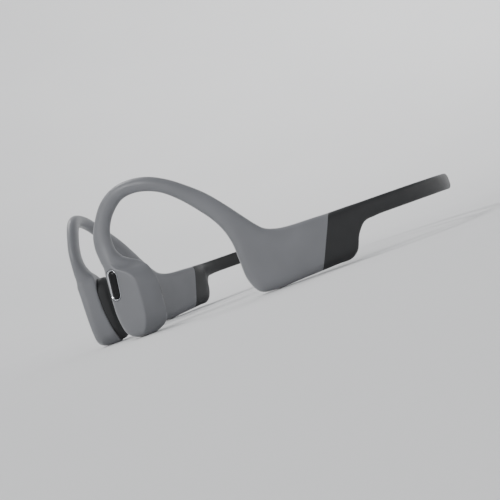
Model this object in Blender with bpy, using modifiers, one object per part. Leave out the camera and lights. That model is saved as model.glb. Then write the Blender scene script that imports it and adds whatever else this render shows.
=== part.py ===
"""Bone conduction headphones: two speaker pods on ear hooks, two cases behind the ears, one neckband.

Run with: blender --background --python part.py, or from Blender's text editor.

The frame is metres, +Z up. The wearer faces -Y and the wearer's left is +X. The origin is the middle of
the footprint, on the surface that the pods and the cases stand on.

Each arm hangs on one curved vertical surface, the arm surface. A place on an arm is (s, n, z):
s runs along the arm surface from the pod towards the neckband's middle, n is how far outboard of it
the place is, away from the head, and z is the height. The left arm is built, and the right arm is its
mirror image.
"""

import math

import bmesh
import bpy
from mathutils import Matrix, Vector

MM = 0.001

# ---- Arm surface, seen from above: straight and round stretches from the pod to the neckband's middle
ARM_START = (13.6, -62.36)
ARM_HEADING = 57.0  # degrees from +Y towards +X at the pod
HOOK_STRAIGHT = 12.0
HOOK_RADIUS, HOOK_TURN = 46.0, 32.0
CASE_STRAIGHT = 45.0
SIDE_RADIUS, SIDE_TURN = 42.0, 42.0
CORNER_RADIUS, CORNER_TURN = 33.0, 50.0

# ---- Heights and walls, in millimetres
BAND_TOP, BAND_LOW = 17.0, 11.5
BAND_HALF = 1.4
WALL = 1.2
GAP = 0.3
SEAM = GAP / 2
WIRE_RADIUS = 0.4
LEAD_RADIUS = 0.35
WIRE_SPACING = 0.5
BORE_LONG, BORE_SHORT = 1.15, 0.7
HINGE_S = 125.0

PLUG_LENGTH, WIRE_PROUD = 2.0, 1.0
NECK_DROPS = (11.0, 5.0, -1.0)  # stations of the bore through the pod's neck, below the hook's start
WIRE_DROP, LEADS_DROP = 6.0, 10.0
LIGHT_RADIUS = 0.35
CASE_MIDDLE = -0.6
LID_OUTSIDE, LID_BACK, LID_GAP = -8.0, -3.2, 0.1
LID_SIZE, LID_CORNER, LID_MIDDLE = (17.5, 11.4), 2.2, (58.75, 0.0, 8.7)

RING_SIDES = 12
CASE_SIDES = 16
POD_QUARTER = 5
SLOT_SIDES = 6
WELD = 0.00001
Z_TO_X = Matrix(((0, 0, 1, 0), (1, 0, 0, 0), (0, 1, 0, 0), (0, 0, 0, 1)))
FACING_UP = Matrix(((0, 0, -1, 0), (0, 1, 0, 0), (1, 0, 0, 0), (0, 0, 0, 1)))
FACING_DOWN = Matrix(((0, 1, 0, 0), (0, 0, -1, 0), (-1, 0, 0, 0), (0, 0, 0, 1)))

# Rail stations of the hook: s and z of the outer edge, s and z of the inner edge, outboard, inboard,
# squareness. The hook leans towards the head at its top.
HOOK = (
    (-1.7, 31.5, 4.9, 31.3, 2.15, -1.9, 2.2),
    (-1.25, 35.4, 5.3, 35.0, 1.85, -2.15, 2.1),
    (1.3, 40.0, 7.0, 38.4, 1.4, -2.6, 2.0),
    (5.7, 44.9, 9.9, 41.3, 1.05, -2.95, 2.0),
    (11.6, 47.7, 13.6, 43.2, 0.9, -3.1, 2.0),
    (17.6, 48.2, 17.8, 43.5, 0.9, -3.15, 2.0),
    (23.8, 47.1, 22.2, 42.7, 1.05, -3.1, 2.0),
    (29.9, 44.1, 27.1, 40.5, 1.3, -2.95, 2.0),
    (35.6, 39.9, 32.0, 36.4, 1.65, -2.9, 2.1),
    (40.6, 35.4, 36.2, 31.6, 2.0, -2.85, 2.2),
    (44.8, 30.4, 39.6, 27.0, 2.35, -2.85, 2.3),
    (48.6, 25.4, 42.0, 22.0, 2.65, -3.0, 2.5),
)
# Rail stations of the case, from the hook to the slanted seam with the neckband's boot
CASE = (
    HOOK[-1],
    (51.2, 22.0, 43.0, 17.4, 2.9, -3.3, 2.8),
    (53.6, 19.5, 43.2, 12.2, 3.1, -3.8, 3.1),
    (57.0, 18.1, 43.7, 5.6, 3.3, -4.3, 3.5),
    (60.0, 17.6, 46.0, 1.2, 3.4, -4.5, 3.8),
    (63.4, 17.4, 51.0, 0.1, 3.4, -4.6, 4.0),
    (68.0, 17.3, 58.6, 0.4, 3.4, -4.6, 4.0),
    (74.0, 17.1, 66.4, 0.7, 3.4, -4.6, 4.0),
)
# Rail stations of the boot, from the case to the plain neckband
BOOT = (
    CASE[-1],
    (76.0, 17.1, 72.0, 0.95, 3.3, -4.3, 3.8),
    (77.8, 17.1, 76.6, 1.15, 3.1, -3.9, 3.6),
    (79.4, 17.1, 78.8, 2.6, 2.9, -3.5, 3.4),
    (82.0, 17.05, 81.2, 7.4, 2.3, -2.6, 3.2),
    (84.6, 17.0, 84.0, 10.6, 1.9, -2.0, 3.0),
    (88.0, BAND_TOP, 88.0, 11.3, 1.6, -1.6, 3.0),
    (93.0, BAND_TOP, 93.0, BAND_LOW, BAND_HALF, -BAND_HALF, 3.0),
)
BAND_STEP = 6.6

# Shell slices from the sole to the neck: height, front, crease, rear, outboard, inboard, how sharp the
# crease is
POD = (
    (0.0, 2.4, 4.8, 7.7, 0.4, -4.9, 0.0),
    (0.5, 1.5, 6.2, 9.0, 1.9, -5.3, 0.3),
    (1.4, 0.4, 7.3, 10.6, 2.7, -5.2, 0.7),
    (3.2, -0.9, 8.7, 12.4, 3.0, -4.9, 1.0),
    (5.6, -1.5, 9.7, 13.4, 3.1, -4.5, 1.0),
    (8.8, -1.9, 10.3, 14.0, 3.1, -4.1, 1.0),
    (12.5, -1.8, 10.7, 14.6, 3.1, -3.7, 1.0),
    (16.0, -1.5, 11.0, 14.8, 3.1, -3.6, 1.0),
    (18.7, -1.2, 10.7, 14.1, 3.1, -3.6, 1.0),
    (21.2, -1.0, 8.2, 12.9, 3.1, -3.9, 1.0),
    (23.0, -0.9, 5.4, 11.0, 3.05, -4.2, 0.9),
    (24.3, -1.0, 4.0, 9.3, 2.9, -4.2, 0.6),
    (25.4, -1.15, 3.4, 7.6, 2.8, -3.6, 0.3),
    (26.6, -1.3, 3.2, 6.2, 2.65, -2.9, 0.1),
    (28.4, -1.5, 3.2, 5.3, 2.45, -2.25, 0.0),
    (31.5, -1.7, 3.2, 4.9, 2.15, -1.9, 0.0),
)
# Cover slices at the heights of POD[1] to POD[10]: front, rear, inboard
COVER = (
    (2.6, 7.6, -7.2),
    (1.3, 9.0, -8.0),
    (-0.2, 10.8, -8.5),
    (-0.9, 11.7, -8.5),
    (-1.3, 12.2, -8.45),
    (-1.2, 12.5, -8.4),
    (-0.9, 12.5, -8.4),
    (-0.6, 11.9, -8.3),
    (0.2, 10.5, -7.7),
    (1.9, 8.2, -6.6),
)
# Cavity slices: height, front, rear, outboard, inboard
CAVITY = (
    (2.2, 2.6, 8.4, 0.4, -6.2),
    (4.0, 0.9, 10.4, 1.1, -6.9),
    (8.0, 0.2, 11.3, 1.2, -7.0),
    (16.0, 0.2, 11.4, 1.2, -7.0),
    (19.5, 0.5, 10.4, 1.2, -6.8),
    (21.6, 1.2, 8.4, 0.9, -6.0),
)
CAVITY_SQUARENESS, COVER_SQUARENESS = 5.0, 3.4
SHELL_ROUND, SHELL_SQUARE = 2.2, 6.0  # squareness of the shell's round slices, and of its creased ones
FACE_N = 3.1  # the pod's flat outer face
PAST = 2.0  # how far a cutter reaches outside what it cuts

# ---- Transducer, on an axis along n
SPEAKER_S, SPEAKER_Z = 5.8, 11.3
COIL_FRAME = ((-5.4, 0), (-5.4, 5.0), (-6.0, 5.0), (-6.0, 2.4), (-6.9, 2.4), (-6.9, 0))
YOKE = ((-1.2, 0), (-1.2, 4.7), (-4.8, 4.7), (-4.8, 4.05), (-2.2, 4.05), (-2.2, 0))
# Rings as radius, hole, low n, high n, and discs as radius, low n, high n
VOICE_COIL = (3.7, 3.1, -5.3, -2.9)
SPRING_PLATE = (5.0, 4.2, -5.2, -5.05)
TOP_PLATE = (2.7, -4.6, -3.9)
MAGNET = (2.7, -3.8, -2.3)

# ---- Contact pad and microphone
PAD_SIZE, PAD_RISE = (8.4, 15.0), 0.6
PAD_FACE, PAD_BACK, PAD_POCKET, PAD_EDGE = -9.1, -7.85, -7.75, 0.35
MICROPHONE_SIZE, MICROPHONE_Z = (2.4, 3.0, 1.0), 4.2
PORT_S, PORT_N, PORT_RADIUS, PORT_DEPTH = 5.3, -1.6, 0.4, 3.0

# ---- Multifunction button
BUTTON_S, BUTTON_Z, BUTTON_TILT = 2.1, 18.4, 9.0
BUTTON_SIZE = (3.4, 9.2)
RING_OUTSIDE, RING_INSIDE = (4.4, 10.2), (3.6, 9.4)
BUTTON_POCKET = (4.6, 10.4)
POCKET_FLOOR, RING_BACK, BUTTON_BACK = 1.9, 2.0, 2.3
STEM_RADIUS, STEM_END, STEM_GAP = 0.8, 0.75, 0.2
RING_BELOW, BUTTON_BELOW = 0.04, 0.1  # how far under the shell's face each one ends
DOME_RADIUS, DOME_BACK, DOME_FACE = 1.3, -0.2, 0.4
BUTTON_BOARD_SIZE, BUTTON_BOARD_PLACE = (0.6, 3.8, 6.4), (3.1, -0.6, 17.0)

# ---- Case contents
BATTERY_SIZE, BATTERY_PLACE, BATTERY_EDGE = (4.0, 15.0, 10.6), (56.6, -0.5, 8.8), 0.8
BATTERY_BOARD_SIZE, BATTERY_BOARD_PLACE = (1.8, 12.0, 0.7), (58.5, -0.6, 14.85)
BOARD_SIZE, BOARD_PLACE = (0.8, 16.0, 10.4), (55.6, 0.0, 9.8)
SHIELD_SIZE, SHIELD_PLACE, SHIELD_EDGE = (1.0, 7.0, 6.6), (0.95, 2.6, 0.6), 0.25
KEY_SIZE, KEY_FOOT = (2.6, 4.2), (3.1, 4.5)
KEY_FACE, KEY_BACK, KEY_FOOT_HEIGHT = 0.12, 2.3, 0.3
SWITCH_SIZE, SWITCH_N, SWITCH_Z = (1.6, 2.6, 1.8), -1.35, 3.55
VOLUME_DOWN_S, VOLUME_UP_S, LIGHT_S, CHARGE_S = 51.6, 56.3, 59.5, 62.6
CHARGE_SIZE, CHARGE_BACK, CHARGE_FACE = (2.6, 4.4), 2.7, 0.55
CONTACT_OFFSET, CONTACT_RADIUS, CONTACT_BACK, CONTACT_FACE = 0.62, 0.42, 3.0, 0.6
HOLDER_OFFSET, HOLDER_RADIUS, HOLDER_BACK, HOLDER_FACE = 1.62, 0.34, 2.7, 1.4
LIGHT_BACK, LIGHT_FACE = 2.4, 0.5
INSERT_GAP = 0.08
SLOT_GAP = 0.2

COLOURS = {
    "light_silicone": ((0.33, 0.34, 0.36, 1), 0.55, 0.0),
    "dark_silicone": ((0.035, 0.037, 0.040, 1), 0.55, 0.0),
    "black_plastic": ((0.02, 0.02, 0.022, 1), 0.35, 0.0),
    "polished_metal": ((0.62, 0.63, 0.65, 1), 0.2, 1.0),
    "titanium": ((0.45, 0.44, 0.42, 1), 0.35, 1.0),
    "lead_jacket": ((0.05, 0.05, 0.055, 1), 0.5, 0.0),
    "copper": ((0.72, 0.38, 0.22, 1), 0.35, 1.0),
    "magnet_steel": ((0.5, 0.5, 0.52, 1), 0.3, 1.0),
    "battery_foil": ((0.70, 0.71, 0.73, 1), 0.4, 1.0),
    "circuit_board": ((0.02, 0.16, 0.07, 1), 0.5, 0.0),
    "gold": ((0.85, 0.62, 0.25, 1), 0.25, 1.0),
    "light_guide": ((0.85, 0.87, 0.9, 1), 0.3, 0.0),
}


# ---------------------------------------------------------------- scene and objects
def clear_scene():
    for obj in list(bpy.data.objects):
        bpy.data.objects.remove(obj)


def new_collection(name):
    collection = bpy.data.collections.new(name)
    bpy.context.scene.collection.children.link(collection)
    return collection


clear_scene()
PARTS = new_collection("bone_conduction_headphones")
CUTTERS = new_collection("cutters")


def make_materials():
    made = {}
    for name, (colour, roughness, metallic) in COLOURS.items():
        material = bpy.data.materials.new(name)
        material.use_nodes = True
        shader = material.node_tree.nodes["Principled BSDF"]
        shader.inputs["Base Color"].default_value = colour
        shader.inputs["Roughness"].default_value = roughness
        shader.inputs["Metallic"].default_value = metallic
        made[name] = material
    return made


MATERIALS = make_materials()


def add_part(name, mesh, material):
    """A named object for one sub-part, with its material and smooth shading on its round faces."""
    mesh.name = name
    mesh.materials.clear()
    mesh.materials.append(MATERIALS[material])
    mesh.shade_smooth()
    mesh.set_sharp_from_angle(angle=math.radians(35))
    part = bpy.data.objects.new(name, mesh)
    PARTS.objects.link(part)
    return part


def mesh_from(bm):
    bmesh.ops.recalc_face_normals(bm, faces=bm.faces)
    mesh = bpy.data.meshes.new("mesh")
    bm.to_mesh(mesh)
    bm.free()
    return mesh


# ---------------------------------------------------------------- the arm surface
def arm_stretches():
    """Each stretch as (start s, end s, x, y, heading, radius). The last ends at the neckband's middle."""
    s, (x, y), heading = 0.0, ARM_START, ARM_HEADING
    stretches = []

    def straight(length):
        nonlocal s, x, y
        stretches.append((s, s + length, x, y, heading, None))
        s += length
        x += length * math.sin(math.radians(heading))
        y += length * math.cos(math.radians(heading))

    def arc(radius, turn):
        nonlocal s, x, y, heading
        stretches.append((s, s + radius * math.radians(turn), x, y, heading, radius))
        s += radius * math.radians(turn)
        before, after = math.radians(heading), math.radians(heading - turn)
        x += radius * (math.cos(after) - math.cos(before))
        y += radius * (math.sin(before) - math.sin(after))
        heading -= turn

    straight(HOOK_STRAIGHT)
    arc(HOOK_RADIUS, HOOK_TURN)
    straight(CASE_STRAIGHT)
    arc(SIDE_RADIUS, SIDE_TURN)
    arc(CORNER_RADIUS, CORNER_TURN)
    last_turn = 90.0 + heading
    arc(x / math.cos(math.radians(-heading)), last_turn)
    return stretches


STRETCHES = arm_stretches()
ARM_END = STRETCHES[-1][1]


def plan(s):
    """(x, y, heading in radians) of the arm surface at s."""
    for start, end, x, y, heading, radius in STRETCHES:
        if s <= end or end == ARM_END:
            break
    along = s - start
    turn = math.radians(heading)
    if radius is None:
        return x + along * math.sin(turn), y + along * math.cos(turn), turn
    now = turn - along / radius
    x += radius * (math.cos(now) - math.cos(turn))
    y += radius * (math.sin(turn) - math.sin(now))
    return x, y, now


def arm_point(s, n, z):
    """The place (s, n, z) of the left arm, given in millimetres, as a point in metres."""
    x, y, heading = plan(s)
    return Vector((x + n * math.cos(heading), y - n * math.sin(heading), z)) * MM


def arm_frame(s, n, z):
    """A matrix at (s, n, z) whose X points outboard, Y along the arm and Z up."""
    heading = plan(s)[2]
    outboard = Vector((math.cos(heading), -math.sin(heading), 0))
    along = Vector((math.sin(heading), math.cos(heading), 0))
    turned = Matrix((outboard, along, Vector((0, 0, 1)))).transposed().to_4x4()
    return Matrix.Translation(arm_point(s, n, z)) @ turned


# ---------------------------------------------------------------- lofts
def signed_power(value, power):
    return math.copysign(abs(value) ** power, value)


def rail_ring(row, inset=0.0, sides=RING_SIDES):
    """A closed ring between a station's two edges: a superellipse, its edges pulled in by inset."""
    top_s, top_z, low_s, low_z, outboard, inboard, squareness = row
    half_s, half_z = (top_s - low_s) / 2, (top_z - low_z) / 2
    shrink = 1 - inset / math.hypot(half_s, half_z)
    mid_s, mid_z, mid_n = (top_s + low_s) / 2, (top_z + low_z) / 2, (outboard + inboard) / 2
    half_n = (outboard - inboard) / 2 - inset
    ring = []
    for k in range(sides):
        angle = 2 * math.pi * (k + 0.5) / sides
        up = signed_power(math.cos(angle), 2 / squareness) * shrink
        out = signed_power(math.sin(angle), 2 / squareness) * half_n
        ring.append(arm_point(mid_s + half_s * up, mid_n + out, mid_z + half_z * up))
    return ring


def bore_ring(row):
    """The oval bore's ring on a station's middle."""
    top_s, top_z, low_s, low_z, outboard, inboard, _ = row
    length = math.hypot(top_s - low_s, top_z - low_z)
    unit_s, unit_z = (top_s - low_s) / length, (top_z - low_z) / length
    mid_s, mid_z, mid_n = (top_s + low_s) / 2, (top_z + low_z) / 2, (outboard + inboard) / 2
    ring = []
    for k in range(RING_SIDES):
        angle = 2 * math.pi * (k + 0.5) / RING_SIDES
        up, out = BORE_LONG * math.cos(angle), BORE_SHORT * math.sin(angle)
        ring.append(arm_point(mid_s + unit_s * up, mid_n + out, mid_z + unit_z * up))
    return ring


def bridge(bm, rings):
    """Quads between each ring and the next. Gives back each ring's vertices."""
    loops = [[bm.verts.new(point) for point in ring] for ring in rings]
    for one, two in zip(loops, loops[1:]):
        for k in range(len(one)):
            nxt = (k + 1) % len(one)
            bm.faces.new((one[k], one[nxt], two[nxt], two[k]))
    return loops


def loft(rings):
    """A closed solid through the rings, with flat ends."""
    bm = bmesh.new()
    loops = bridge(bm, rings)
    bm.faces.new(list(reversed(loops[0])))
    bm.faces.new(loops[-1])
    return mesh_from(bm)


def bored_loft(outer, inner):
    """A closed solid through the outer rings, with a bore through the inner ones."""
    bm = bmesh.new()
    skin, bore = bridge(bm, outer), bridge(bm, inner)
    for a, b in ((skin[0], bore[0]), (skin[-1], bore[-1])):
        for k in range(len(a)):
            nxt = (k + 1) % len(a)
            bm.faces.new((a[k], a[nxt], b[nxt], b[k]))
    return mesh_from(bm)


def band_rows(start, end):
    """Plain neckband stations from start to end along the arm."""
    count = max(1, round((end - start) / BAND_STEP))
    stops = [start + (end - start) * k / count for k in range(count + 1)]
    return [(s, BAND_TOP, s, BAND_LOW, BAND_HALF, -BAND_HALF, 3.0) for s in stops]


def lowered(row, drop):
    """The station moved straight down."""
    return (row[0], row[1] - drop, row[2], row[3] - drop, *row[4:])


def shifted(row, along):
    """The station moved along the arm."""
    return (row[0] + along, row[1], row[2] + along, *row[3:])


# ---------------------------------------------------------------- cutting and joining
def combine(part, mesh, operation):
    """Applies a Boolean of the part with a mesh, and keeps the result as the part's mesh."""
    cutter = bpy.data.objects.new("cutter", mesh)
    CUTTERS.objects.link(cutter)
    cutter.display_type = "WIRE"
    cutter.hide_render = True
    boolean = part.modifiers.new(operation.lower(), "BOOLEAN")
    boolean.operation = operation
    boolean.solver = "EXACT"
    boolean.object = cutter
    part.data = evaluated(part)
    part.modifiers.clear()
    bpy.data.objects.remove(cutter)


def evaluated(obj):
    """The object's mesh with its modifiers or its curve settings applied, welded."""
    bpy.context.view_layer.update()
    graph = bpy.context.evaluated_depsgraph_get()
    mesh = bpy.data.meshes.new_from_object(obj.evaluated_get(graph))
    bm = bmesh.new()
    bm.from_mesh(mesh)
    bmesh.ops.remove_doubles(bm, verts=bm.verts, dist=WELD)
    bm.to_mesh(mesh)
    bm.free()
    return mesh


def taken(data, frame):
    """The mesh that a curve or a mesh with modifiers makes, moved into a frame. The object itself goes."""
    obj = data if isinstance(data, bpy.types.Object) else bpy.data.objects.new("source", data)
    if not obj.users_collection:
        CUTTERS.objects.link(obj)
    mesh = evaluated(obj)
    bpy.data.objects.remove(obj)
    bm = bmesh.new()
    bm.from_mesh(mesh)
    bmesh.ops.transform(bm, matrix=frame, verts=bm.verts)
    return mesh_from(bm)


def box_mesh(size, frame):
    """A box of a size in millimetres, in the frame's axes."""
    bm = bmesh.new()
    bmesh.ops.create_cube(bm, size=1.0)
    scale = Matrix.Diagonal((*[length * MM for length in size], 1))
    bmesh.ops.transform(bm, matrix=frame @ scale, verts=bm.verts)
    return mesh_from(bm)


def disc_mesh(radius, low, high, frame, sides=20):
    """A disc about the frame's X, from low to high along it, in millimetres."""
    bm = bmesh.new()
    bmesh.ops.create_cone(
        bm, cap_ends=True, segments=sides, radius1=radius * MM, radius2=radius * MM, depth=(high - low) * MM
    )
    place = frame @ offset((low + high) / 2, 0, 0) @ Z_TO_X
    bmesh.ops.transform(bm, matrix=place, verts=bm.verts)
    return mesh_from(bm)


def plate_mesh(outline, low, high, frame):
    """A flat outline of (y, z) points in the frame, thick from low to high along its X, in millimetres."""
    curve = bpy.data.curves.new("outline", "CURVE")
    curve.dimensions = "2D"
    curve.fill_mode = "BOTH"
    curve.extrude = (high - low) / 2 * MM
    spline = curve.splines.new("POLY")
    spline.points.add(len(outline) - 1)
    for point, (y, z) in zip(spline.points, outline):
        point.co = (y * MM, z * MM, 0, 1)
    spline.use_cyclic_u = True
    return taken(curve, frame @ offset((low + high) / 2, 0, 0) @ Z_TO_X)


def slot_mesh(width, length, low, high, frame, tilt=0.0):
    """A long shape with round ends, its length along the frame's Z, tilted towards Y by some degrees."""
    radius, run = width / 2, (length - width) / 2
    lean = math.radians(tilt)
    outline = []
    for end in (1, -1):
        for k in range(SLOT_SIDES + 1):
            angle = math.pi * k / SLOT_SIDES
            y, z = end * radius * math.cos(angle), end * (radius * math.sin(angle) + run)
            outline.append((y * math.cos(lean) + z * math.sin(lean), z * math.cos(lean) - y * math.sin(lean)))
    return plate_mesh(outline, low, high, frame)


def turned_mesh(profile, frame, closed=False, sides=20):
    """A solid of revolution about the frame's X through (x, radius) points, in millimetres."""
    mesh = bpy.data.meshes.new("profile")
    edges = [(k, k + 1) for k in range(len(profile) - 1)]
    if closed:
        edges.append((len(profile) - 1, 0))
    mesh.from_pydata([(radius * MM, 0, x * MM) for x, radius in profile], edges, [])
    obj = bpy.data.objects.new("profile", mesh)
    CUTTERS.objects.link(obj)
    screw = obj.modifiers.new("turn", "SCREW")
    screw.steps = sides
    screw.render_steps = sides
    screw.use_merge_vertices = True
    screw.merge_threshold = WELD
    return taken(obj, frame @ Z_TO_X)


def ring_mesh(radius, hole, low, high, frame):
    return turned_mesh(((high, radius), (low, radius), (low, hole), (high, hole)), frame, closed=True)


def strand_mesh(points, radius):
    """A round wire through a list of points."""
    curve = bpy.data.curves.new("path", "CURVE")
    curve.dimensions = "3D"
    curve.bevel_depth = radius * MM
    curve.bevel_resolution = 1
    curve.use_fill_caps = True
    spline = curve.splines.new("POLY")
    spline.points.add(len(points) - 1)
    for place, point in zip(spline.points, points):
        place.co = (*point, 1)
    return taken(curve, Matrix())


def offset(x, y, z):
    return Matrix.Translation(Vector((x, y, z)) * MM)


def bevel_edges(part, width):
    """Takes the sharp edges off a part."""
    bevel = part.modifiers.new("edges", "BEVEL")
    bevel.width = width * MM
    bevel.segments = 1
    bevel.limit_method = "ANGLE"
    bevel.angle_limit = math.radians(50)
    part.data = evaluated(part)
    part.modifiers.clear()


# ---------------------------------------------------------------- pod
def pod_point(s, n, z):
    """A place on the pod, whose frame is the arm surface's straight front stretch carried on."""
    heading = math.radians(ARM_HEADING)
    x = ARM_START[0] + s * math.sin(heading) + n * math.cos(heading)
    y = ARM_START[1] + s * math.cos(heading) - n * math.sin(heading)
    return Vector((x, y, z)) * MM


def pod_frame(s, n, z):
    """A matrix at a place on the pod whose X points outboard, Y rearward and Z up."""
    return Matrix.Translation(pod_point(s, n, z) - pod_point(0, 0, 0)) @ arm_frame(0, 0, 0)


def slice_outline(front, rear, outboard, inboard, squareness, middle):
    """A superellipse round (s, n), its widest place the middle share of the way from inboard to outboard."""
    mid_s, mid_n = (front + rear) / 2, inboard + (outboard - inboard) * middle
    half_s = (rear - front) / 2
    outline = []
    for k in range(4 * POD_QUARTER):
        angle = math.pi / 2 * k / POD_QUARTER
        depth = outboard - mid_n if math.sin(angle) > 0 else mid_n - inboard
        s = mid_s + half_s * signed_power(math.cos(angle), 2 / squareness)
        n = mid_n + depth * signed_power(math.sin(angle), 2 / squareness)
        outline.append((s, n))
    return outline


def shell_outline(row):
    """A slice of the shell: a rounded front, a flat outer face, a crease, and a slanted side to the rim."""
    _, front, crease, rear, outboard, inboard, sharp = row
    middle = 0.5 - 0.42 * sharp
    squareness = SHELL_ROUND + (SHELL_SQUARE - SHELL_ROUND) * sharp
    outline = slice_outline(front, rear, outboard, inboard, squareness, middle)
    rim_n = inboard + (outboard - inboard) * middle
    mid_s = (front + rear) / 2
    turn = POD_QUARTER - 2
    for k in range(POD_QUARTER):
        if k <= turn:
            share = k / turn
            bulge = 0.25 * math.sin(math.pi * share)
            s = rear + (crease - rear) * share + bulge
            n = rim_n + (outboard - 0.12 - rim_n) * share + bulge
        else:
            share = (k - turn) / (POD_QUARTER - turn)
            s = crease + (mid_s - crease) * share
            n = outboard - 0.12 * (1 - share)
        round_s, round_n = outline[k]
        outline[k] = (round_s + (s - round_s) * sharp, round_n + (n - round_n) * sharp)
    return outline


def pod_loft(rows, outlines):
    return loft([[pod_point(s, n, row[0]) for s, n in outline] for row, outline in zip(rows, outlines)])


def shell_mesh(inset=0.0):
    """The shell's outer form, its outboard face set in by inset."""
    rows = [(*row[:4], row[4] - inset, *row[5:]) for row in POD]
    rows[-1] = (rows[-1][0] - SEAM, *rows[-1][1:])
    return pod_loft(rows, [shell_outline(row) for row in rows])


def cover_mesh():
    """The cover's outer form. Its outboard side follows the shell's rim, and it is widest there."""
    rows = POD[1 : 1 + len(COVER)]
    outlines = []
    for (_, _, _, _, _, rim, _), (front, rear, inboard) in zip(rows, COVER):
        outlines.append(slice_outline(front, rear, rim - GAP, inboard, COVER_SQUARENESS, 0.96))
    return pod_loft(rows, outlines)


def cavity_mesh():
    outlines = [slice_outline(*row[1:], CAVITY_SQUARENESS, 0.5) for row in CAVITY]
    return pod_loft(CAVITY, outlines)


def make_pod(side):
    """The pod's outer shell and its inboard cover, both hollow, the soft contact pad and the microphone."""
    shell = add_part(side + "_pod_shell", shell_mesh(), "light_silicone")
    combine(shell, cavity_mesh(), "DIFFERENCE")
    neck = [lowered(HOOK[0], drop) for drop in NECK_DROPS]
    combine(shell, loft([bore_ring(row) for row in neck]), "DIFFERENCE")
    port = disc_mesh(PORT_RADIUS, -PAST, PORT_DEPTH, pod_frame(PORT_S, PORT_N, 0.0) @ FACING_UP, sides=8)
    combine(shell, port, "DIFFERENCE")
    if side == "left":
        pocket = slot_mesh(*BUTTON_POCKET, POCKET_FLOOR, FACE_N + PAST, button_frame(), BUTTON_TILT)
        combine(shell, pocket, "DIFFERENCE")
        stem_hole = disc_mesh(STEM_RADIUS + STEM_GAP, 0.0, FACE_N, button_frame(), sides=12)
        combine(shell, stem_hole, "DIFFERENCE")

    cover = add_part(side + "_pod_cover", cover_mesh(), "dark_silicone")
    combine(cover, cavity_mesh(), "DIFFERENCE")
    face = pod_frame(SPEAKER_S, 0, SPEAKER_Z + PAD_RISE)
    width, length = PAD_SIZE
    pocket = slot_mesh(width + GAP, length + GAP, PAD_FACE - PAST, PAD_POCKET, face)
    combine(cover, pocket, "DIFFERENCE")
    pad = slot_mesh(width, length, PAD_FACE, PAD_BACK, face)
    pad = add_part(side + "_contact_pad", pad, "dark_silicone")
    bevel_edges(pad, PAD_EDGE)

    can = box_mesh(MICROPHONE_SIZE, pod_frame(PORT_S, PORT_N, MICROPHONE_Z))
    add_part(side + "_microphone", can, "magnet_steel")


def button_frame():
    return pod_frame(BUTTON_S, 0, BUTTON_Z)


def make_button():
    """The multifunction button, its ring, and the dome switch on the small board behind it."""
    frame = button_frame()
    outside = FACE_N + PAST
    ring = slot_mesh(*RING_OUTSIDE, RING_BACK, outside, frame, BUTTON_TILT)
    ring = add_part("left_button_ring", ring, "polished_metal")
    combine(ring, slot_mesh(*RING_INSIDE, 0.0, outside + PAST, frame, BUTTON_TILT), "DIFFERENCE")
    combine(ring, shell_mesh(RING_BELOW), "INTERSECT")
    button = slot_mesh(*BUTTON_SIZE, BUTTON_BACK, outside, frame, BUTTON_TILT)
    button = add_part("left_multifunction_button", button, "black_plastic")
    stem = disc_mesh(STEM_RADIUS, STEM_END, BUTTON_BACK + BUTTON_BELOW, frame, sides=12)
    combine(button, stem, "UNION")
    combine(button, shell_mesh(BUTTON_BELOW), "INTERSECT")
    dome = disc_mesh(DOME_RADIUS, DOME_BACK, DOME_FACE, frame, sides=12)
    add_part("left_button_dome", dome, "magnet_steel")
    board = box_mesh(BUTTON_BOARD_SIZE, pod_frame(*BUTTON_BOARD_PLACE))
    add_part("left_button_board", board, "circuit_board")


# ---------------------------------------------------------------- transducer
def make_transducer(side):
    """A coil fixed to the cover's side, and a magnet in a cup that swings along n on a spring plate."""
    frame = pod_frame(SPEAKER_S, 0, SPEAKER_Z)
    add_part(side + "_coil_frame", turned_mesh(COIL_FRAME, frame), "black_plastic")
    add_part(side + "_voice_coil", ring_mesh(*VOICE_COIL, frame), "copper")
    add_part(side + "_spring_plate", ring_mesh(*SPRING_PLATE, frame), "magnet_steel")
    add_part(side + "_yoke", turned_mesh(YOKE, frame), "magnet_steel")
    add_part(side + "_top_plate", disc_mesh(*TOP_PLATE, frame), "magnet_steel")
    add_part(side + "_magnet", disc_mesh(*MAGNET, frame), "magnet_steel")


# ---------------------------------------------------------------- hook, case and band
def core_points(rows, along):
    """The stations' middles, moved along their edge-to-edge lines by along."""
    points = []
    for top_s, top_z, low_s, low_z, outboard, inboard, _ in rows:
        share = 0.5 + along / math.hypot(top_s - low_s, top_z - low_z)
        s, z = low_s + (top_s - low_s) * share, low_z + (top_z - low_z) * share
        points.append(arm_point(s, (outboard + inboard) / 2, z))
    return points


def add_wire(name, rows):
    add_part(name, strand_mesh(core_points(rows, WIRE_SPACING), WIRE_RADIUS), "titanium")


def add_leads(name, rows):
    add_part(name, strand_mesh(core_points(rows, -WIRE_SPACING), LEAD_RADIUS), "lead_jacket")


def make_hook(side):
    rows = list(HOOK)
    rows[0] = lowered(rows[0], -SEAM)
    rows[-1] = shifted(rows[-1], -SEAM)
    sleeve = bored_loft([rail_ring(row) for row in rows], [bore_ring(row) for row in rows])
    add_part(side + "_hook_sleeve", sleeve, "light_silicone")
    inside = [*HOOK, CASE[1]]
    add_wire(side + "_hook_wire", [lowered(HOOK[0], WIRE_DROP), *inside])
    add_leads(side + "_hook_leads", [lowered(HOOK[0], LEADS_DROP), *inside])


def case_rings(rows, inset=0.0):
    return [rail_ring(row, inset, sides=CASE_SIDES) for row in rows]


def case_cavity():
    hollow = [*CASE[2:-1], shifted(CASE[-1], PAST)]
    return loft(case_rings(hollow, WALL))


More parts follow.
